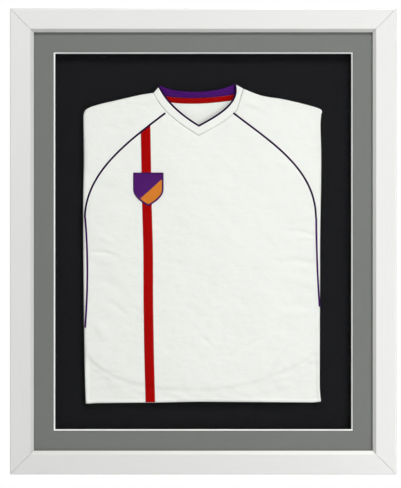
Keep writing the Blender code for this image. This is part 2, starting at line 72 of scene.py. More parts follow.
# Shirt outline, in metres from the middle of the frame, as seen from the front
LEFT_EDGE = [
    (-0.2297, 0.2410), (-0.2290, 0.150), (-0.2303, 0.060), (-0.2289, -0.130), (-0.2267, -0.262),
    (-0.2251, -0.3108),
]
HEM = [
    (-0.2000, -0.3097), (-0.0900, -0.3087), (-0.0100, -0.3070), (0.1450, -0.3081),
    (0.2110, -0.3086),
]
RIGHT_EDGE = [
    (0.2256, -0.3066), (0.2226, -0.255), (0.2238, -0.110), (0.2242, 0.010), (0.2262, 0.150),
    (0.2245, 0.225),
]
SHOULDER_RIGHT = [
    (0.2262, 0.2430), (0.2215, 0.2550), (0.158, 0.2716), (0.113, 0.2792), (0.0775, 0.2926),
]
SHOULDER_LEFT = [
    (-0.0968, 0.2848), (-0.123, 0.2804), (-0.165, 0.2708), (-0.204, 0.2615), (-0.2248, 0.2527),
]
NECK_TIP_LEFT = (-0.0844, 0.2974)
NECK_TIP_RIGHT = (0.0604, 0.3018)
NECK_POINT = (-0.0084, 0.2221)
NECK_LEFT = [NECK_TIP_LEFT, (-0.066, 0.257), NECK_POINT]
NECK_RIGHT = [NECK_POINT, (0.035, 0.245), (0.071, 0.268), NECK_TIP_RIGHT]
BACK_NECK = (-0.013, 0.2745)  # draws the back panel's neck down in the middle
COLLAR_SEAM_LEFT = (-0.0961, 0.2840)
COLLAR_SEAM_RIGHT = (0.0765, 0.2932)
RIB_W = 0.017
BAND_TOP = [(-0.0840, 0.3004), (-0.0620, 0.2835), (0.0220, 0.2800), (0.0606, 0.3025)]
BAND_SEAM = [(-0.0790, 0.2800), (-0.0135, 0.2690), (0.0660, 0.2835)]
TAPE_EDGE = [(-0.0720, 0.2680), (-0.0130, 0.2590), (0.0640, 0.2720)]
RAGLAN_LEFT = [(-0.0725, 0.2462), (-0.142, 0.193), (-0.2250, 0.134), (-0.2268, 0.046)]
RAGLAN_RIGHT = [(0.0580, 0.2462), (0.130, 0.190), (0.215, 0.140), (0.2160, 0.046)]
SIDE_LEFT = [(-0.2262, 0.046), (-0.2178, -0.050), (-0.2262, -0.165)]
SIDE_RIGHT = [(0.2165, 0.046), (0.2170, -0.040), (0.2230, -0.125)]
STRIPE_LEFT = [
    (-0.1172, 0.0755), (-0.1148, -0.020), (-0.1144, -0.118), (-0.1128, -0.220),
    (-0.1106, -0.3082),
]
STRIPE_TOP_X = -0.1197
STRIPE_W = 0.0185
SLEEVE = [(0.219, 0.232), (0.219, 0.058), (0.072, 0.018), (0.060, 0.186)]
PIPING_W = 0.0036
BINDING_W = 0.0038

# Folds pressed into the front: ends, width and height (a negative height is a valley)
FOLDS = [
    ((0.160, 0.020), (0.222, 0.008), 0.0040, -0.0012),
    ((0.168, 0.004), (0.224, 0.004), 0.0035, 0.0008),
    ((0.150, -0.040), (0.222, -0.046), 0.0050, -0.0012),
    ((0.140, -0.030), (0.222, -0.030), 0.0060, 0.0009),
    ((0.150, -0.070), (0.222, -0.090), 0.0070, 0.0009),
    ((0.165, 0.036), (0.222, 0.050), 0.0050, 0.0007),
    ((-0.218, -0.020), (-0.160, -0.031), 0.0040, -0.0012),
    ((-0.218, -0.034), (-0.165, -0.046), 0.0060, 0.0008),
    ((-0.216, 0.095), (-0.165, 0.105), 0.0070, -0.0008),
    ((-0.212, 0.010), (-0.170, -0.002), 0.0060, 0.0007),
    ((-0.200, -0.075), (-0.150, -0.098), 0.0090, -0.0008),
    ((-0.185, -0.115), (-0.145, -0.145), 0.0060, -0.0007),
    ((-0.215, -0.150), (-0.180, -0.200), 0.0090, 0.0008),
    ((0.150, -0.128), (0.195, -0.122), 0.0070, -0.0009),
    ((0.140, -0.145), (0.200, -0.138), 0.0060, 0.0007),
    ((0.058, -0.225), (0.112, -0.186), 0.0035, -0.0007),
    ((0.066, -0.232), (0.120, -0.192), 0.0035, 0.0006),
    ((0.118, -0.256), (0.170, -0.198), 0.0040, -0.0008),
    ((0.128, -0.262), (0.182, -0.206), 0.0040, 0.0007),
    ((0.010, -0.158), (0.040, -0.128), 0.0040, 0.0006),
    ((-0.012, -0.178), (0.020, -0.206), 0.0040, -0.0006),
    ((-0.010, 0.082), (0.040, 0.060), 0.0120, -0.0006),
    ((-0.080, -0.040), (-0.030, -0.048), 0.0060, -0.0006),
    ((-0.020, 0.200), (-0.045, 0.175), 0.0060, -0.0004),
    ((0.075, 0.268), (0.110, 0.252), 0.0050, 0.0006),
    ((0.085, 0.258), (0.125, 0.236), 0.0060, -0.0006),
    ((-0.150, 0.262), (-0.100, 0.255), 0.0060, -0.0006),
    ((-0.190, 0.225), (-0.120, 0.238), 0.0080, 0.0005),
]
PRESS = 1.4  # how strongly the folds show
# The curved tail of the shirt, folded up behind, shows through as a long curved step
TAIL = [(-0.228, -0.212), (-0.170, -0.300), (-0.010, -0.298), (0.130, -0.292), (0.229, -0.203)]

# --- Node trees ---


def node(tree, kind, inputs=None, **settings):
    made = tree.nodes.new(kind)
    for name, value in settings.items():
        setattr(made, name, value)
    for name, value in (inputs or {}).items():
        if isinstance(value, bpy.types.NodeSocket):
            tree.links.new(value, made.inputs[name])
        else:
            made.inputs[name].default_value = value
    return made


def principled(name, **sockets):
    """A new material, with its tree, its shader and the object's own coordinates in metres."""
    made = bpy.data.materials.new(name)
    made.use_nodes = True
    tree = made.node_tree
    shader = tree.nodes["Principled BSDF"]
    for socket, value in sockets.items():
        shader.inputs[socket.replace("_", " ")].default_value = value
    place = node(tree, "ShaderNodeTexCoord").outputs["Object"]
    return made, tree, shader, place


def feed(tree, shader, colour, roughness):
    """Links what varies over the surface to the shader."""
    tree.links.new(colour, shader.inputs["Base Color"])
    if roughness:
        tree.links.new(roughness, shader.inputs["Roughness"])


def maths(tree, operation, first, second=None):
    inputs = {i: v for i, v in enumerate((first, second)) if v is not None}
    return node(tree, "ShaderNodeMath", inputs, operation=operation).outputs[0]


def noise(tree, place, scale, detail=2.0, stretch=None):
    if stretch:
        mapping = {"Vector": place, "Scale": stretch}
        place = node(tree, "ShaderNodeMapping", mapping).outputs[0]
    made = node(tree, "ShaderNodeTexNoise", {"Vector": place, "Scale": scale, "Detail": detail})
    return made.outputs["Fac"]


def between(tree, factor, low, high):
    """A number from low to high as factor goes from 0 to 1."""
    limits = {"Value": factor, "To Min": low, "To Max": high}
    return node(tree, "ShaderNodeMapRange", limits).outputs[0]


def mix_colour(tree, factor, first, second):
    made = node(tree, "ShaderNodeMix", data_type="RGBA")
    for socket, value in ((0, factor), (6, first), (7, second)):
        if isinstance(value, bpy.types.NodeSocket):
            tree.links.new(value, made.inputs[socket])
        else:
            made.inputs[socket].default_value = value if socket == 0 else (*value, 1.0)
    return made.outputs[2]


def clouded(tree, colour, other, cloud, share):
    """The colour, drifting towards another by up to share where the cloud is dense."""
    return mix_colour(tree, maths(tree, "MULTIPLY", cloud, share), colour, other)


def mix_shaders(tree, factor, first, second):
    """The material's surface: the first shader, and the second as factor goes to 1."""
    inputs = {0: factor, 1: first.outputs[0], 2: second.outputs[0]}
    both = node(tree, "ShaderNodeMixShader", inputs)
    tree.links.new(both.outputs[0], tree.nodes["Material Output"].inputs["Surface"])


def bump(tree, shader, height, distance, strength=1.0):
    """Adds relief to the shader, over any that it already has."""
    inputs = {"Height": height, "Distance": distance, "Strength": strength}
    made = node(tree, "ShaderNodeBump", inputs)
    before = shader.inputs["Normal"].links
    if before:
        tree.links.new(before[0].from_socket, made.inputs["Normal"])
    tree.links.new(made.outputs[0], shader.inputs["Normal"])


def ridges(tree, place, direction, pitch):
    """Even waves across a direction, from -1 to 1."""
    dot = node(tree, "ShaderNodeVectorMath", {0: place, 1: direction}, operation="DOT_PRODUCT")
    turns = maths(tree, "MULTIPLY", dot.outputs["Value"], 2 * math.pi / pitch)
    return maths(tree, "SINE", turns)


def facing(tree):
    """The Y of the surface's own normal: -1 to the front, 1 to the back."""
    normal = node(tree, "ShaderNodeTexCoord").outputs["Normal"]
    return node(tree, "ShaderNodeSeparateXYZ", {0: normal}).outputs["Y"]


def scaled(colour, factor):
    return tuple(min(1.0, c * factor) for c in colour)


# --- Materials: noise scales are per metre, and bump distances in metres ---

AGAINST_THE_GRAIN = 900.0
WITH_THE_GRAIN = 12.0
LIP_FACING = (-0.96, -0.86)  # the normal's Y where the flat face ends and the sloped lip begins
PAPER_FACING = 0.9  # a steeper face than this shows the mount board's core


def moulding_finish(name, along, painted_lip_shade):
    """Satin silver-white lacquer, its fine grain along the rail, with painted shade darkening the
    sloped lip and every face turned away from the front.
    """
    made, tree, shader, place = principled(name, Metallic=0.16, Specular_IOR_Level=0.5)
    stretch = [AGAINST_THE_GRAIN] * 3
    stretch["xyz".index(along)] = WITH_THE_GRAIN
    grain = noise(tree, place, 1.0, 4.0, stretch)
    cloud = noise(tree, place, 9.0)
    shade = mix_colour(tree, grain, (0.665, 0.665, 0.652), (0.745, 0.745, 0.730))
    lacquer = clouded(tree, shade, (0.70, 0.70, 0.69), cloud, 0.25)
    start, end = LIP_FACING
    limits = {"Value": facing(tree), "From Min": start, "From Max": end}
    slope = node(tree, "ShaderNodeMapRange", limits).outputs[0]
    # painted shade: the lacquer's colour darkened on the lip by a factor given for each rail
    painted_lip_colour = scaled((0.73, 0.73, 0.705), painted_lip_shade)
    colour = mix_colour(tree, slope, lacquer, painted_lip_colour)
    feed(tree, shader, colour, between(tree, grain, 0.30, 0.44))
    bump(tree, shader, grain, 0.00006, 0.6)
    return made


def mount_card_finish():
    """Grey paper on the faces and a white core on the bevel and the cut edges."""
    sockets = {"Roughness": 0.92, "Specular_IOR_Level": 0.2}
    made, tree, shader, place = principled("grey mount card", **sockets)
    paper = maths(tree, "GREATER_THAN", maths(tree, "ABSOLUTE", facing(tree)), PAPER_FACING)
    fibre = noise(tree, place, 1400.0, 3.0)
    cloud = noise(tree, place, 30.0)
    grey = mix_colour(tree, fibre, (0.166, 0.172, 0.164), (0.206, 0.212, 0.203))
    grey = clouded(tree, grey, (0.180, 0.187, 0.178), cloud, 0.2)
    core = mix_colour(tree, fibre, (0.93, 0.93, 0.92), (0.99, 0.99, 0.98))
    feed(tree, shader, mix_colour(tree, paper, core, grey), None)
    bump(tree, shader, fibre, 0.00008, 0.5)
    return made


def grained_finish(name, colour, gloss, scale, darkest, lightest, roughness, relief):
    """A fine, even grain in the colour and in the surface."""
    made, tree, shader, place = principled(name, Specular_IOR_Level=gloss)
    grain = noise(tree, place, scale, 3.0)
    shade = mix_colour(tree, grain, scaled(colour, darkest), scaled(colour, lightest))
    feed(tree, shader, shade, between(tree, grain, *roughness))
    bump(tree, shader, grain, 0.00008, relief)
    return made


def card_finish(name, colour, roughness=0.9, fleck=0.25):
    spread = (roughness - 0.06, roughness + 0.04)
    return grained_finish(name, colour, 0.03, 900.0, 1 - fleck, 1 + fleck, spread, 0.5)


def rubber_finish(name, colour):
    return grained_finish(name, colour, 0.35, 1600.0, 0.7, 1.0, (0.6, 0.85), 0.6)


def hardboard_finish():
    """Smooth brown hardboard with darker fibres and a faint sheen."""
    made, tree, shader, place = principled("hardboard", Specular_IOR_Level=0.35)
    fibre = noise(tree, place, 260.0, 6.0, (1.0, 1.0, 0.35))
    cloud = noise(tree, place, 12.0, 3.0)
    brown = mix_colour(tree, fibre, (0.150, 0.082, 0.040), (0.330, 0.205, 0.115))
    brown = clouded(tree, brown, (0.25, 0.15, 0.08), cloud, 0.4)
    feed(tree, shader, brown, between(tree, fibre, 0.45, 0.65))
    bump(tree, shader, fibre, 0.0001, 0.5)
    return made


def knit_finish(name, colour, pitch=0.0014, sheen=0.15, spread=0.03, crumple=0.0):
    """Fine sports knit: columns of small loops, a soft sheen, and pressed-in creases."""
    sockets = {"Sheen_Weight": sheen, "Sheen_Roughness": 0.5, "Specular_IOR_Level": 0.04}
    made, tree, shader, place = principled(name, **sockets)
    columns = ridges(tree, place, (1.0, 0.0, 0.0), pitch)
    loops = ridges(tree, place, (0.5, 0.0, 1.0), pitch * 0.8)
    weave = maths(tree, "MULTIPLY", columns, loops)
    fuzz = noise(tree, place, 2500.0)
    cloud = noise(tree, place, 14.0, 3.0)
    dark, light = scaled(colour, 1 - spread), scaled(colour, 1 + spread)
    shade = mix_colour(tree, between(tree, weave, 0.2, 0.8), dark, light)
    shade = clouded(tree, shade, colour, cloud, 0.5)
    feed(tree, shader, shade, between(tree, fuzz, 0.74, 0.92))
    bump(tree, shader, weave, 0.00008, 0.5)
    bump(tree, shader, fuzz, 0.00006, 0.4)
    if crumple:
        bump(tree, shader, noise(tree, place, 26.0, 4.0, (1.0, 1.0, 1.6)), crumple)
    return made


def thread_finish(name, colour, direction, pitch):
    """Satin stitch or twill: close parallel threads with a silky sheen."""
    made, tree, shader, place = principled(name, Specular_IOR_Level=0.03)
    threads = ridges(tree, place, direction, pitch)
    fuzz = noise(tree, place, 1800.0)
    dark, light = scaled(colour, 0.72), scaled(colour, 1.2)
    shade = mix_colour(tree, between(tree, threads, 0.1, 0.9), dark, light)
    feed(tree, shader, shade, between(tree, fuzz, 0.42, 0.62))
    bump(tree, shader, threads, 0.00014, 0.7)
    return made


def metal_finish(name, colour, roughness):
    """Plated steel with fine scratches and slight clouding."""
    made, tree, shader, place = principled(name, Metallic=1.0)
    scratch = noise(tree, place, 1.0, 4.0, (300.0, 300.0, 3500.0))
    cloud = noise(tree, place, 160.0, 3.0)
    shade = mix_colour(tree, cloud, scaled(colour, 0.78), colour)
    feed(tree, shader, shade, between(tree, scratch, roughness * 0.8, roughness * 1.35))
    bump(tree, shader, scratch, 0.00003, 0.5)
    return made


def glazing_finish():
    """Clear, low-reflection glazing: light goes straight through, and it shines at a glance."""
    made = bpy.data.materials.new("clear glazing")
    made.use_nodes = True
    tree = made.node_tree
    tree.nodes.remove(tree.nodes["Principled BSDF"])
    smear = noise(tree, node(tree, "ShaderNodeTexCoord").outputs["Object"], 6.0)
    clear = node(tree, "ShaderNodeBsdfTransparent", {"Color": (0.992, 0.994, 0.992, 1.0)})
    gloss = node(tree, "ShaderNodeBsdfGlossy", {"Roughness": between(tree, smear, 0.02, 0.05)})
    shine = node(tree, "ShaderNodeFresnel", {"IOR": 1.05})
    mix_shaders(tree, shine.outputs[0], clear, gloss)
    return made


WHITE = (0.840, 0.852, 0.815)
PURPLE = (0.068, 0.007, 0.155)
RED = (0.370, 0.0012, 0.001)
INDIGO = (0.018, 0.0025, 0.038)
VIOLET = (0.048, 0.003, 0.095)
ORANGE = (0.78, 0.24, 0.03)

MATERIALS = {
    "mount": mount_card_finish(),
    "backing": card_finish("black backing card", (0.0105, 0.0105, 0.0118)),
    "spacer": card_finish("black spacer", (0.010, 0.010, 0.011)),
    "former": card_finish("white former board", (0.80, 0.80, 0.78), 0.8, 0.05),
    "hardboard": hardboard_finish(),
    "glazing": glazing_finish(),
    "white": knit_finish("white knit", WHITE, crumple=0.0022),
    "rib": knit_finish("white rib", WHITE, 0.0022),
    "purple": knit_finish("purple rib", PURPLE, 0.0018, 0.01, 0.3),
    "red": knit_finish("red knit", RED, 0.0014, 0.0, 0.1),
    "tape": thread_finish("red tape", RED, (0.7, 0.0, 0.7), 0.0012),
    "piping": knit_finish("indigo piping", INDIGO, 0.0012, 0.01, 0.2),
    "side piping": knit_finish("purple piping", VIOLET, 0.0012, 0.01, 0.2),
    "field": thread_finish("purple twill", (0.085, 0.012, 0.160), (0.7, 0.0, 0.7), 0.0009),
    "band": thread_finish("orange twill", ORANGE, (0.7, 0.0, -0.7), 0.0009),
    "border": thread_finish("border stitch", (0.070, 0.012, 0.120), (1.0, 0.0, 0.35), 0.0011),
    "zinc": metal_finish("bright zinc", (0.56, 0.55, 0.50), 0.30),
    "nickel": metal_finish("nickel plate", (0.50, 0.49, 0.47), 0.24),
    "nail": metal_finish("bare steel", (0.42, 0.42, 0.43), 0.42),
    "rubber": rubber_finish("black rubber", (0.022, 0.022, 0.023)),
    "foam": rubber_finish("pad foam", (0.62, 0.61, 0.58)),
}


# --- Outlines: (x, z) in metres from the middle of the frame ---


def bezier(controls, steps):
    """Points along a Bezier curve of any degree, both ends included."""
    points = []
    for step in range(steps + 1):
        level = [Vector(p) for p in controls]
        while len(level) > 1:
            level = [a.lerp(b, step / steps) for a, b in zip(level, level[1:])]
        points.append(tuple(level[0]))
    return points


def spline(controls, steps):
    """A smooth curve through every point."""
    ends = [controls[0], *controls, controls[-1]]
    points = []
    for a, b, c, d in zip(ends, ends[1:], ends[2:], ends[3:]):
        a, b, c, d = (np.array(p) for p in (a, b, c, d))
        slope, bend, twist = c - a, 2 * a - 5 * b + 4 * c - d, 3 * b - a - 3 * c + d
        for step in range(steps):
            t = step / steps
            points.append(tuple(((2 * b) + slope * t + bend * t**2 + twist * t**3) / 2))
    return [*points, tuple(controls[-1])]


def left_of(along):
    """Unit vectors to the left of each direction."""
    turned = np.stack([-along[:, 1], along[:, 0]], axis=1)
    return turned / np.linalg.norm(along, axis=1)[:, None]


def ring_normals(points):
    """Unit vectors to the left of a closed path, at each of its points."""
    return left_of(np.roll(points, -1, axis=0) - np.roll(points, 1, axis=0))


def offset_path(path, distance):
    """An open path moved to its own left by distance, with mitred corners."""
    points = np.array(path)
    normals = left_of(np.diff(points, axis=0))
    before = np.vstack([normals[:1], normals])
    after = np.vstack([normals, normals[-1:]])
    share = distance / (1 + (before * after).sum(axis=1))
    return [tuple(p) for p in points + (before + after) * share[:, None]]


def even(path, spacing, closed=False):
    """The path's points again, at even spacing, with its corners kept."""
    ring = [*path, path[0]] if closed else list(path)
    points = []
    for a, b in zip(ring, ring[1:]):
        count = max(1, round(math.dist(a, b) / spacing))
        start, along = np.array(a), np.array(b) - np.array(a)
        points += [tuple(start + along * i / count) for i in range(count)]
    return points if closed else [*points, tuple(path[-1])]


def distance_to(points, path, closed=False):
    """How far each point is from a path."""
    ring = np.array([*path, path[0]] if closed else path)
    nearest = np.full(len(points), 1e9)
    for a, b in zip(ring, ring[1:]):
        along = b - a
        share = np.clip(((points - a) @ along) / max(along @ along, 1e-12), 0, 1)
        gap = np.linalg.norm(points - a - share[:, None] * along, axis=1)
        nearest = np.minimum(nearest, gap)
    return nearest


NECK = bezier(NECK_LEFT, 14) + bezier(NECK_RIGHT, 14)[1:]


def collar_edge(width):
    """The neck's edge moved out by width, without the ends that the shoulders cut off."""
    return offset_path(NECK, -width)[4:-6]


SEAM_LINE = [COLLAR_SEAM_LEFT, *collar_edge(RIB_W), COLLAR_SEAM_RIGHT]
SIDES = (
    spline([*SHOULDER_LEFT, LEFT_EDGE[0]], 5)[:-1]
    + spline(LEFT_EDGE, 5)
    + HEM
    + spline(RIGHT_EDGE, 5)
    + spline(SHOULDER_RIGHT, 5)
)
RAGLANS = [bezier(RAGLAN_LEFT, 30), bezier(RAGLAN_RIGHT, 30)]
BAND_TOP_LINE = bezier(BAND_TOP, 40)
BAND_SEAM_LINE = bezier(BAND_SEAM, 40)
TAPE_TOP_LINE = offset_path(BAND_SEAM_LINE, -LAYER_GAP)
TAPE_EDGE_LINE = bezier(TAPE_EDGE, 40)


# --- Cloth surface ---


def smooth_step(values):
    clipped = np.clip(values, 0, 1)
    return clipped * clipped * (3 - 2 * clipped)


def hump(offset, width):
    """1 in the middle, falling away on both sides."""
    return np.exp(-((offset / width) ** 2))


def slow_waves(x, z):
    """Gentle unevenness of pressed cloth, a few tenths of a millimetre."""
    waves = [
        (0.00042, 31, 17, 0.4),
        (0.00034, -23, 41, 1.9),
        (0.00024, 67, -29, 3.1),
        (0.00012, 49, 88, 5.2),
        (0.00007, -131, 97, 0.9),
        (0.00005, 173, 149, 2.6),
    ]
    return sum(a * np.sin(p * x + q * z + r) for a, p, q, r in waves)


def press_folds(height, points):
    """Adds each pressed fold: a slightly bowed ridge or valley that dies out at its ends."""
    for start, end, width, rise in FOLDS:
        start, end = np.array(start), np.array(end)
        along = end - start
        length = np.linalg.norm(along)
        share = ((points - start) @ along) / (along @ along)
        bow = 0.12 * length * np.sin(math.pi * np.clip(share, 0, 1))
        side = (points - start) @ np.array([-along[1], along[0]]) / length - bow * 0.5
        reach = smooth_step(1 - np.abs(share - 0.5) / 0.75)
        height += PRESS * rise * reach * hump(side, width)


def press_tail(height, points):
    """Adds the tail folded up behind: a step down, its crease, and the gathers below it."""
    x, z = points[:, 0], points[:, 1]
    tail = np.array(bezier(TAIL, 40))
    below = np.interp(x, tail[:, 0], tail[:, 1]) - z
    height -= 0.0012 * smooth_step((below + 0.005) / 0.010)
    height -= 0.0009 * hump(below, 0.0055)
    gathers = np.sin(95 * x + 3 * np.sin(60 * z)) * np.sin(210 * z + 40 * x)
    height += 0.0006 * gathers * hump(below - 0.014, 0.020)
    past_corner = np.maximum(np.abs(x) - 0.150, 0)
    height -= 0.022 * past_corner * smooth_step(below / 0.020)
    height -= 0.0009 * smooth_step(below / 0.045)


def fold_height(points):
    """Height that waves, folds, the tail and the pull of the seams add at each point."""
    height = slow_waves(points[:, 0], points[:, 1])
    press_folds(height, points)
    press_tail(height, points)
    for raglan in RAGLANS:
        height -= 0.0004 * hump(distance_to(points, raglan) - 0.0026, 0.0016)
    return height - 0.0003 * hump(distance_to(points, SEAM_LINE), 0.0016)


def rolled(inward, radius):
    """How far a rolled edge falls back, by the distance in from it."""
    short = radius - np.minimum(inward, radius)
    return radius - np.sqrt(np.maximum(radius**2 - short**2, 0))


def front_surface(points):
    """Depth (world y) of the shirt's front. It never sinks into the form board."""
    inward = distance_to(points, SIDES)
    level = CLOTH_Y - fold_height(points) * smooth_step(inward / 0.009)
    return np.minimum(level, BOARD_Y - CLOTH_T - LAYER_GAP) + rolled(inward, EDGE_R)


# --- Meshes ---


def placed(flat, y):
    """World coordinates of flat points. y is one depth, or one for each point."""
    flat = np.asarray(flat)
    return np.stack([flat[:, 0], np.full(len(flat), y), flat[:, 1] + CENTRE_Z], axis=1)


def filled(outline, spacing):
    """Points and triangles that fill an outline, and where the outline's points are."""
    low = np.min(outline, axis=0)
    high = np.max(outline, axis=0)
    rows = []
    for row, z in enumerate(np.arange(low[1], high[1], spacing * 0.87)):
        start = low[0] + (spacing / 2 if row % 2 else 0)
        rows += [(x, z) for x in np.arange(start, high[0], spacing)]
    inside = np.array(rows)
    inside = inside[distance_to(inside, outline, True) > spacing * 0.6]
    rim = len(outline)
    points = [Vector(p) for p in outline] + [Vector(p) for p in inside]
    edges = [(i, (i + 1) % rim) for i in range(rim)]
    kept, _, faces, origin, _, _ = delaunay_2d_cdt(points, edges, [], 1, 1e-7)
    used = sorted({i for face in faces for i in face})
    renumber = {old: new for new, old in enumerate(used)}
    rim_of = {source: renumber[i] for i in used for source in origin[i]}
    faces = [tuple(renumber[i] for i in face) for face in faces]
    return np.array([kept[i][:] for i in used]), faces, [rim_of[i] for i in range(rim)]


def tube_faces(count, sides, closed=False):
    """Faces of a tube of lines of count points each. An open tube gets two end caps."""
    faces = []
    for side in range(sides):
        near, far = side * count, (side + 1) % sides * count
        for i in range(count if closed else count - 1):
            j = (i + 1) % count
            faces.append((near + i, near + j, far + j, far + i))
    if not closed:
        faces.append(tuple(side * count for side in range(sides)))
        faces.append(tuple(side * count + count - 1 for side in range(sides))[::-1])
    return faces


def slab_faces(count, rows):
    """Faces of a closed slab: two layers of rows of count points each, joined at the rim."""
    faces = []
    for layer in (0, 1):
        for row in range(rows - 1):
            for i in range(count - 1):
                a = (layer * rows + row) * count + i
                faces.append((a, a + 1, a + count + 1, a + count))
    far = rows * count
    for row in (0, rows - 1):
        for a in range(row * count, row * count + count - 1):
            faces.append((a, a + 1, a + 1 + far, a + far))
    for row in range(rows - 1):
        for a in (row * count, row * count + count - 1):
            faces.append((a, a + count, a + count + far, a + far))
    return faces


def add_object(name, data):
    made = bpy.data.objects.new(name, data)
    bpy.context.collection.objects.link(made)
    return made


def new_mesh(name, vertices, faces):
    """A mesh with its faces pointing out."""
    mesh = bpy.data.meshes.new(name)
    mesh.from_pydata([tuple(v) for v in vertices], [], faces)
    mesh.validate()
    bm = bmesh.new()
    bm.from_mesh(mesh)
    bmesh.ops.recalc_face_normals(bm, faces=bm.faces[:])
    bm.to_mesh(mesh)
    bm.free()
    return mesh


def mesh_object(name, vertices, faces, material):
    """A new smooth piece, from points in world coordinates."""
    mesh = new_mesh(name, vertices, faces)
    mesh.materials.append(material)
    mesh.shade_smooth()
    return add_object(name, mesh)


def finish_piece(piece, slot, *nodes, body="case"):
    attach(piece, body)
    if nodes:
        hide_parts(*nodes)
    return piece


def cloth_slab(name, outline, spacing, face_y, thickness, edge_radius, material, crown=0.0):
    """A closed piece of cloth with rolled edges. face_y is a depth, or gives one for points."""
    outline = even(outline, spacing, True)
    flat, faces, rim = filled(outline, spacing)
    inward = distance_to(flat, outline, True)
    level = face_y(flat) if callable(face_y) else face_y
    lift = crown * smooth_step(inward / (4 * edge_radius))
    front = placed(flat, level + rolled(inward, edge_radius) - lift)
    back = placed(flat, level + thickness)
    back[:, 1] = np.maximum(back[:, 1], front[:, 1] + LAYER_GAP)
    count = len(flat)
    sides = [(a, b, b + count, a + count) for a, b in zip(rim, rim[1:] + rim[:1])]
    underside = [tuple(i + count for i in face[::-1]) for face in faces]
    return mesh_object(name, np.vstack([front, back]), faces + underside + sides, material)


# --- Shirt ---

TRIM_STEP = 0.0025  # spacing of points along piping and stripe
BINDING_T = 0.0011  # half the binding's thickness
PATCH_LIFT = 0.0013  # the patch's face over the stripe
STITCH_R = 0.0016  # half the width of the patch's stitched border
STITCH_RISE = 0.0007
PATCH_TOP = (0.9, -0.004)  # slope and height, at the patch's middle, of the line between colours
SHARP_RISE = 0.0003  # how far the outer edge of a neck band is pressed down


def make_front():
    """The front panel: one sheet that rolls over the form board's edge and turns in behind it."""
    sides = even(SIDES, FRONT_RIM)
    neck = even(collar_edge(RIB_W + LAYER_GAP)[::-1], FRONT_RIM)
    flat, faces, rim = filled(sides + neck, FRONT_GRID)
    y = front_surface(flat)
    wrapped = rim[: len(sides)]
    edge = flat[wrapped]
    inside = np.array(offset_path(edge, TURN_IN))
    start_y = y[wrapped[0]]
    layers = [placed(edge, start_y + (WRAP_Y - start_y) * share) for share in (0.25, 0.6, 0.9)]
    layers += [placed(edge + (inside - edge) * share, WRAP_Y) for share in (0.12, 1.0)]
    count = len(edge)
    starts = [len(flat) + i * count for i in range(len(layers))]
    rows = [wrapped, *(list(range(start, start + count)) for start in starts)]
    for near, far in zip(rows, rows[1:]):
        faces += [(near[i], near[i + 1], far[i + 1], far[i]) for i in range(count - 1)]
    vertices = np.vstack([placed(flat, y), *layers])
    front = mesh_object("shirt_front", vertices, faces, MATERIALS["white"])
    solid = front.modifiers.new("cloth", "SOLIDIFY")
    solid.thickness = CLOTH_T
    solid.offset = -1.0
    return finish_piece(front, "shirt_white", "jersey_front")


def strip_on_cloth(name, path, width, material, rise, across=7):
    """A half-round strip sewn along a path on the shirt's front."""
    path = even(path, TRIM_STEP)
    shares = np.linspace(-1, 1, across)
    lines = [np.array(offset_path(path, share * width / 2)) for share in shares]
    depths = [front_surface(line) for line in lines]
    rows = []
    for share, line, depth in zip(shares, lines, depths):
        swell = rise * math.sqrt(max(0.0, 1 - share**2))
        rows.append(placed(line, depth - LAYER_GAP - swell))
    for line, depth in zip(lines[::-1], depths[::-1]):
        rows.append(placed(line, depth + LAYER_GAP))
    return mesh_object(name, np.vstack(rows), tube_faces(len(path), len(rows)), material)


def make_piping():
    made = []
    routes = {
        "raglan_piping_left": RAGLAN_LEFT,
        "raglan_piping_right": RAGLAN_RIGHT,
        "side_piping_left": SIDE_LEFT,
        "side_piping_right": SIDE_RIGHT,
    }
    for name, controls in routes.items():
        finish = MATERIALS["side piping" if name.startswith("side") else "piping"]
        route = bezier(controls, 40)
        piece = strip_on_cloth(f"{name}_cord", route, PIPING_W, finish, 0.0008)
        made.append(finish_piece(piece, "shirt_piping", name))
    return made


def stripe_lines():
    """The stripe's two long edges, from the raglan seam down to the rolled hem."""
    seam = np.array(offset_path(RAGLANS[0], PIPING_W / 2))[::-1]
    lines = []
    for shift in (0.0, STRIPE_W):
        top_x = STRIPE_TOP_X + shift
        top = (top_x, np.interp(top_x, seam[:, 0], seam[:, 1]))
        edge = [top, *[(x + shift, z) for x, z in STRIPE_LEFT]]
        lines.append(even(spline(edge, 12), TRIM_STEP))
    last = min(len(line) for line in lines) - 1
    return [[line[round(i * (len(line) - 1) / last)] for i in range(last + 1)] for line in lines]


def make_stripe():
    """A panel of red knit, sewn in flush, that follows every fold of the front."""
    left, right = (np.array(line) for line in stripe_lines())
    columns = 9
    rows = []
    for lift in (0.0004, -0.0001):
        for column in range(columns):
            line = left + (right - left) * (column / (columns - 1))
            pressed = 0.00012 if column in (0, columns - 1) else 0.0
            rows.append(placed(line, front_surface(line) - lift + pressed))
    faces = slab_faces(len(left), columns)
    stripe = mesh_object("stripe", np.vstack(rows), faces, MATERIALS["red"])
    return finish_piece(stripe, "shirt_red", "chest_stripe")


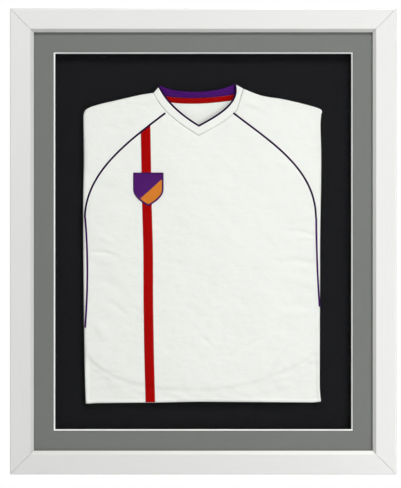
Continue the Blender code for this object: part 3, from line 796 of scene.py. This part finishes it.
def make_collar():
    """Front rib, its binding, and inside the back of the neck a band with a tape below it."""
    outline = [*NECK, *SEAM_LINE[::-1]]
    name, finish = "collar_rib_front", MATERIALS["rib"]
    rib = cloth_slab(name, outline, 0.0018, RIB_Y, 0.0012, 0.0011, finish, crown=0.0003)
    finish_piece(rib, "shirt_white", "collar_rib")

    path = even(offset_path(NECK, -BINDING_W * 0.1), 0.0018)
    binding = neck_tube("neck_binding_cord", path, MATERIALS["piping"])
    finish_piece(binding, "shirt_piping", "neck_binding")

    name, finish = "collar_band_back", MATERIALS["purple"]
    band = neck_band(name, BAND_TOP_LINE, BAND_SEAM_LINE, (0.0060, 0.0016), 0.0011, finish)
    finish_piece(band, "shirt_purple", "collar_band")

    name, finish = "neck_tape_back", MATERIALS["tape"]
    tape = neck_band(name, TAPE_TOP_LINE, TAPE_EDGE_LINE, (0.0012, 0.0005), 0.0006, finish)
    finish_piece(tape, "shirt_red", "neck_tape")
    return rib, binding, band, tape


def neck_tube(name, path, material):
    """Binding that wraps the neck's edge: a slightly flattened tube."""
    sides = 12
    rows = []
    for side in range(sides):
        angle = 2 * math.pi * side / sides
        line = offset_path(path, math.cos(angle) * BINDING_W / 2)
        rows.append(placed(line, RIB_Y + LAYER_GAP - math.sin(angle) * BINDING_T))
    return mesh_object(name, np.vstack(rows), tube_faces(len(path), sides), material)


def neck_band(name, top, bottom, stands_off, thickness, material):
    """A strip inside the back of the neck. stands_off is how far its top and bottom lean out."""
    rows = 9
    top, bottom = np.array(top), np.array(bottom)
    top_off, bottom_off = stands_off
    lines = []
    for inner in (False, True):
        for row in range(rows):
            share = row / (rows - 1)
            swell = 0.0005 * math.sin(math.pi * share)
            off = bottom_off + (top_off - bottom_off) * share**1.5 + swell
            pressed = SHARP_RISE if row in (0, rows - 1) else 0.0
            y = INSIDE_Y - off + (thickness if inner else pressed)
            lines.append(placed(bottom + (top - bottom) * share, y))
    return mesh_object(name, np.vstack(lines), slab_faces(len(top), rows), material)


def shield(width, height, centre):
    """A plain shield: flat top, straight sides that curve in to a point."""
    x, z = centre
    half = width / 2
    tip = (x, z - height / 2)
    left = bezier([(x - half, z), (x - half, z - height / 4), tip], 12)
    right = bezier([tip, (x + half, z - height / 4), (x + half, z)], 12)
    return [(x - half, z + height / 2), *left, *right[1:], (x + half, z + height / 2)]


def on_stripe(points):
    """Depth of the patch's face."""
    return front_surface(points) - PATCH_LIFT


def make_patch():
    """A plain shield, divided aslant into two colours, with a stitched border and no device."""
    low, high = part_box("chest_patch")
    centre = ((low.x + high.x) / 2, (low.z + high.z) / 2 - CENTRE_Z)
    width, height = high.x - low.x, high.z - low.z
    outline = shield(width, height, centre)
    twill = MATERIALS["field"]
    field = cloth_slab("patch_field", outline, 0.0016, on_stripe, 0.0008, 0.0006, twill)
    field.data.materials.append(MATERIALS["band"])
    slope, rise = PATCH_TOP
    for face in field.data.polygons:
        x, z = face.center.x - centre[0], face.center.z - CENTRE_Z - centre[1]
        if z < slope * x + rise:
            face.material_index = 1
    finish_piece(field, "patch_twill", "chest_patch")
    inset = 0.003
    edge = even(shield(width - inset, height - inset, centre), 0.0012, True)
    border = stitched_ridge("patch_border", edge, MATERIALS["border"])
    finish_piece(border, "patch_twill")
    return field, border


def stitched_ridge(name, ring, material):
    """A closed half-round ridge of satin stitch on the patch."""
    sides = 10
    points = np.array(ring)
    normals = ring_normals(points)
    level = on_stripe(points)
    twist = 1 + 0.06 * np.sin(np.arange(len(ring)) * 2.4)
    rows = []
    for side in range(sides):
        angle = 2 * math.pi * side / sides
        line = points + normals * STITCH_R * math.cos(angle)
        rows.append(placed(line, level - STITCH_RISE * math.sin(angle) * twist))
    return mesh_object(name, np.vstack(rows), tube_faces(len(ring), sides, True), material)


def back_outline():
    """The back panel: the same outline as the front, but cut higher at the neck."""
    return SIDES + bezier([SIDES[-1], BACK_NECK, SIDES[0]], 20)[1:-1]


def make_hidden_cloth():
    """Back panel and folded sleeves: they lie behind the form board."""
    outline = even(back_outline(), 0.006, True)
    low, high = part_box("jersey_back")
    white = MATERIALS["white"]
    back = cloth_slab("shirt_back", outline, 0.006, low.y, high.y - low.y, 0.0008, white)
    finish_piece(back, "shirt_white", "jersey_back")
    sleeves = []
    clear = 0.0001  # on each face, to the cloth and the board beside it
    for side, sign in (("left", -1), ("right", 1)):
        name, corners = f"folded_sleeve_{side}", [(sign * x, z) for x, z in SLEEVE]
        low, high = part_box(f"sleeve_{side}")
        thick = high.y - low.y - 2 * clear
        sleeve = cloth_slab(name, corners, 0.005, low.y + clear, thick, 0.0009, white)
        sleeves.append(finish_piece(sleeve, "shirt_white", f"sleeve_{side}"))
    return back, sleeves


def make_pads():
    for level in ("upper", "lower"):
        low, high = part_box(f"fixing_pad_{level}")
        corners = [(low.x, low.z), (high.x, low.z), (high.x, high.z), (low.x, high.z)]
        outline = [(x, z - CENTRE_Z) for x, z in corners]
        name, thick = f"adhesive_pad_{level}", high.y - low.y
        pad = cloth_slab(name, outline, 0.004, low.y, thick, 0.0006, MATERIALS["foam"])
        finish_piece(pad, "pad_foam", f"fixing_pad_{level}")


def declare_sheets():
    """Works out the stripe's two long edges, and does nothing more with them."""
    left, right = stripe_lines()


# --- Hardware ---

SHANK_R = 0.00175
POINT_L = 0.003  # length of a screw's point
PAN_R = 0.0034
FLAT_R = 0.0031
HEAD_SIDES = 28
RECESS_DEPTH = 0.0011
RECESS_ARM = 0.0017
UNDER_HEAD = 0.0003  # gap under a pan head, and the height of its rim
RING_CORNER_R = 0.003


def turned_mesh(name, profile, sides):
    """A turned mesh about the Y axis. profile holds (radius, y)."""
    vertices, faces, rows = [], [], []
    for radius, y in profile:
        start = len(vertices)
        steps = 1 if radius == 0 else sides
        for step in range(steps):
            angle = 2 * math.pi * step / sides
            vertices.append((radius * math.cos(angle), y, radius * math.sin(angle)))
        rows.append([start + (step if steps > 1 else 0) for step in range(sides)])
    for near, far in zip(rows, rows[1:]):
        for i in range(sides):
            j = (i + 1) % sides
            faces.append(tuple(dict.fromkeys((near[i], near[j], far[j], far[i]))))
    return new_mesh(name, vertices, faces)


def cross_recess(top):
    """Cutter for a cross recess in a screw's head, tapering to its bottom."""
    vertices, faces = [], []
    mouth = (top + 0.001, RECESS_ARM, 0.00050)
    bottom = (top - RECESS_DEPTH, RECESS_ARM * 0.45, 0.00030)
    for turn in (0.0, math.pi / 2):
        start = len(vertices)
        cos, sin = math.cos(turn), math.sin(turn)
        for y, half_long, half_wide in (mouth, bottom):
            for a, b in ((-1, -1), (1, -1), (1, 1), (-1, 1)):
                x, z = a * half_long, b * half_wide
                vertices.append((x * cos - z * sin, y, x * sin + z * cos))
        ring = [start, start + 1, start + 2, start + 3]
        faces += [tuple(ring), tuple(i + 4 for i in ring)[::-1]]
        faces += [(a, b, b + 4, a + 4) for a, b in zip(ring, ring[1:] + ring[:1])]
    return new_mesh("cross", vertices, faces)


def screw_mesh(name, profile, top, material):
    """A screw with a cross recess, as one mesh that every screw of its kind copies."""
    body = add_object(name, turned_mesh(name, profile, HEAD_SIDES))
    cutter = add_object("cross", cross_recess(top))
    boolean = body.modifiers.new("cut", "BOOLEAN")
    boolean.operation = "DIFFERENCE"
    boolean.object = cutter
    boolean.use_self = True
    deps = bpy.context.evaluated_depsgraph_get()
    mesh = bpy.data.meshes.new_from_object(body.evaluated_get(deps))
    mesh.name = name
    for obj in (body, cutter):
        bpy.data.objects.remove(obj, do_unlink=True)
    mesh.materials.clear()
    mesh.materials.append(material)
    mesh.shade_smooth()
    mesh.set_sharp_from_angle(angle=math.radians(32))
    return mesh


def dome(radius, base, height, steps=6):
    """Profile of a domed head, from its rim to its crown."""
    turns = [math.pi / 2 * step / steps for step in range(steps)]
    rim = [(radius * math.cos(a), base + height * math.sin(a)) for a in turns]
    return [*rim, (0, base + height)]


def make_screws():
    """Pan-head screws through the turn buttons and flat-head screws in the hanger straps."""
    low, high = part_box("button_screw_top_left")
    head = high.y - BACK_Y
    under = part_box("turn_button_top_left")[1].y - BACK_Y + UNDER_HEAD
    tip = low.y - BACK_Y
    point = [(0, tip), (SHANK_R, tip + POINT_L)]
    crown = dome(PAN_R, under + UNDER_HEAD, head - under - UNDER_HEAD)
    pan = [*point, (SHANK_R, under), (PAN_R - 0.0001, under), *crown]
    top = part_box("hanger_screw_left_upper")[1].y - BACK_Y
    flat = [*point, (SHANK_R, top - 0.00155), (FLAT_R, top - 0.0002), (FLAT_R, top), (0, top)]
    kinds = (
        ("button_screw_", screw_mesh("pan_screw", pan, head, MATERIALS["zinc"]), "zinc_steel"),
        ("hanger_screw_", screw_mesh("flat_screw", flat, top, MATERIALS["nickel"]), "nickel_steel"),
    )
    for prefix, mesh, slot in kinds:
        for name in [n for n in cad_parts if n.startswith(prefix)]:
            low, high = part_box(name)
            place = (low + high) / 2
            screw = add_object(f"{name}_head", mesh.copy())
            turn = 0.7 + 37.0 * place.x + 53.0 * place.z  # no two are driven to the same angle
            move = Matrix.Translation((place.x, BACK_Y, place.z))
            screw.data.transform(move @ Matrix.Rotation(turn, 4, "Y"))
            finish_piece(screw, slot, name)


def arc(centre, radius, start, end, steps):
    turns = [math.radians(start + (end - start) * step / steps) for step in range(steps + 1)]
    return [(centre[0] + radius * math.cos(a), centre[1] + radius * math.sin(a)) for a in turns]


def make_rings():
    """Round wire rings: a bar, two rounded corners and a half-round end."""
    sides = 16
    for side in ("left", "right"):
        low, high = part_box(f"d_ring_{side}")
        wire = (high.y - low.y) / 2
        half = (high.x - low.x) / 2 - wire
        centre = Vector(((low.x + high.x) / 2, (low.y + high.y) / 2, high.z - wire))
        leg = (high.z - low.z) - 2 * wire - half
        inner = half - RING_CORNER_R
        path = arc((-inner, -RING_CORNER_R), RING_CORNER_R, 90, 180, 8)
        path += arc((0, -leg), half, 180, 360, 32)
        path += arc((inner, -RING_CORNER_R), RING_CORNER_R, 0, 90, 8)
        points = np.array(path)
        normals = ring_normals(points)
        vertices = []
        for step in range(sides):
            angle = 2 * math.pi * step / sides
            line = points + normals * wire * math.cos(angle)
            y = centre.y + wire * math.sin(angle)
            vertices += [(centre.x + x, y, centre.z + z) for x, z in line]
        faces = tube_faces(len(path), sides, closed=True)
        ring = mesh_object(f"hanger_ring_{side}", vertices, faces, MATERIALS["nickel"])
        finish_piece(ring, "nickel_steel", f"d_ring_{side}", body=f"ring_{side}")


def make_bumpers():
    """Moulded rubber bumpers with a rounded rim and a shallow dish."""
    for side in ("left", "right"):
        low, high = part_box(f"bumper_{side}")
        radius = (high.x - low.x) / 2
        tall = high.y - low.y
        rim = arc((radius * 0.72, tall - radius * 0.2), radius * 0.2, 0, 90, 6)
        dish = [(radius * 0.5, tall - 0.0004), (0, tall - 0.0006)]
        profile = [(0, 0), (radius, 0), (radius, tall * 0.3), *rim, *dish]
        mesh = turned_mesh(f"bumper_{side}", profile, 40)
        mesh.materials.append(MATERIALS["rubber"])
        mesh.shade_smooth()
        mesh.set_sharp_from_angle(angle=math.radians(50))
        place = (low + high) / 2
        mesh.transform(Matrix.Translation((place.x, low.y, place.z)))
        bumper = add_object(f"wall_bumper_{side}", mesh)
        finish_piece(bumper, "bumper_rubber", f"bumper_{side}")


# --- Finishes of the CAD nodes that stay ---

# First part of the node's name: its finish, and the radius of its edges where they show
NODE_FINISHES = {
    "mount_board": ("mount", None),
    "glazing": ("glazing", None),
    "backing_board": ("backing", None),
    "back_panel": ("hardboard", None),
    "form_board": ("former", None),
    "spacer_": ("spacer", None),
    "v_nail_": ("nail", None),
    "turn_button_": ("zinc", 0.00025),
    "hanger_strap_": ("nickel", 0.0002),
}
# Each rail's direction, and how dark the painted shade on its sloped lip is: darker on the top and
# sides, lighter on the bottom, where more light falls
RAILS = {
    "rail_top": ("x", 0.72),
    "rail_bottom": ("x", 0.82),
    "rail_left": ("z", 0.72),
    "rail_right": ("z", 0.74),
}
RAIL_EDGE_R = 0.0006


def soften(piece, radius):
    """Rounds a CAD node's sharp edges a little, as they are on the real piece."""
    weld = piece.modifiers.new("weld", "WELD")
    weld.merge_threshold = 0.00001
    bevel = piece.modifiers.new("bevel", "BEVEL")
    bevel.width = radius
    bevel.segments = 2
    bevel.limit_method = "ANGLE"
    bevel.angle_limit = math.radians(30)
    bevel.harden_normals = True


def dress(piece, finish, radius):
    if radius:
        soften(piece, radius)
    for slot in piece.material_slots:
        slot.material = finish


def dress_nodes():
    for name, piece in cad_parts.items():
        for start, (finish, radius) in NODE_FINISHES.items():
            if name.startswith(start):
                dress(piece, MATERIALS[finish], radius)
    for name, (along, painted_lip_shade) in RAILS.items():
        # one material per rail, each with its own painted shade on the lip
        finish = moulding_finish(f"silver lacquer, {name}", along, painted_lip_shade)
        dress(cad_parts[name], finish, RAIL_EDGE_R)


# --- Stage, lights and camera ---

AMBIENT = 0.18  # strength of the world's light on the object
FLOOR_DROP = 0.9  # the frame hangs this far above the floor
PICTURE_M = 488 * 0.00191  # height of the picture at the frame's face
LENS = 200.0
SENSOR = 36.0
VIEW_CENTRE = (-0.0052, -0.0048)  # x, and z from the frame's middle


def area_light(name, place, target, size, power):
    light = bpy.data.lights.new(name, "AREA")
    light.shape = "RECTANGLE"
    light.size, light.size_y = size
    light.energy = power
    made = add_object(name, light)
    made.location = place
    made.rotation_euler = (Vector(target) - Vector(place)).to_track_quat("-Z", "Y").to_euler()


def seen_ray(tree):
    """1 for what is seen, straight, reflected or through glass; 0 for light on the object."""
    rays = node(tree, "ShaderNodeLightPath").outputs
    seen = maths(tree, "MAXIMUM", rays["Is Camera Ray"], rays["Is Glossy Ray"])
    return maths(tree, "MAXIMUM", seen, rays["Is Transmission Ray"])


def make_stage():
    """A pale floor, and a world that is white where it is seen."""
    floor_z = CASE_LOW.z - FLOOR_DROP
    bpy.ops.mesh.primitive_plane_add(size=9.0, location=(0, 0, floor_z))
    floor = bpy.context.object
    floor.name = "floor"
    made, tree, shader, place = principled("pale floor", Roughness=0.9)
    grey = mix_colour(tree, noise(tree, place, 3.0), (0.84, 0.84, 0.84), (0.88, 0.88, 0.88))
    feed(tree, shader, grey, None)
    glow = node(tree, "ShaderNodeEmission", {"Strength": 1.0})
    mix_shaders(tree, maths(tree, "MULTIPLY", seen_ray(tree), 0.7), shader, glow)
    floor.data.materials.append(made)

    world = bpy.data.worlds.new("studio")
    bpy.context.scene.world = world
    world.use_nodes = True
    tree = world.node_tree
    background = tree.nodes["Background"]
    strength = between(tree, seen_ray(tree), AMBIENT, 1.0)
    tree.links.new(strength, background.inputs["Strength"])
    background.inputs["Color"].default_value = (1.0, 1.0, 1.0, 1.0)


def make_camera():
    """Square on, far off, with the frame a little right of and above the picture's middle."""
    data = bpy.data.cameras.new("camera")
    data.lens = LENS
    data.sensor_width = SENSOR
    camera = add_object("camera", data)
    x, z = VIEW_CENTRE
    camera.location = (x, FACE_Y - PICTURE_M * LENS / SENSOR, CENTRE_Z + z)
    camera.rotation_euler = (math.pi / 2, 0, 0)
    bpy.context.scene.camera = camera


def make_lights():
    face = (0, FACE_Y, CENTRE_Z)
    high, low, upper, behind = (CENTRE_Z + z for z in (3.0, -0.40, 1.25, 1.6))
    area_light("key above", (0.7, -2.8, high), face, (1.7, 1.2), 100.0)
    area_light("softbox right", (1.5, -2.2, low), face, (1.0, 1.7), 27.0)
    area_light("softbox upper left", (-1.15, -2.8, upper), face, (0.8, 0.8), 6.0)
    area_light("back fill", (0.6, 2.4, behind), face, (1.6, 1.6), 45.0)


# --- The scene ---

dress_nodes()
front_piece = make_front()
piping_pieces = make_piping()
stripe_piece = make_stripe()
collar_pieces = make_collar()
patch_pieces = make_patch()
back_piece, sleeve_pieces = make_hidden_cloth()
make_pads()
declare_sheets()
make_screws()
make_rings()
make_bumpers()
make_stage()
make_lights()
make_camera()

bpy.context.scene.view_settings.view_transform = "Standard"
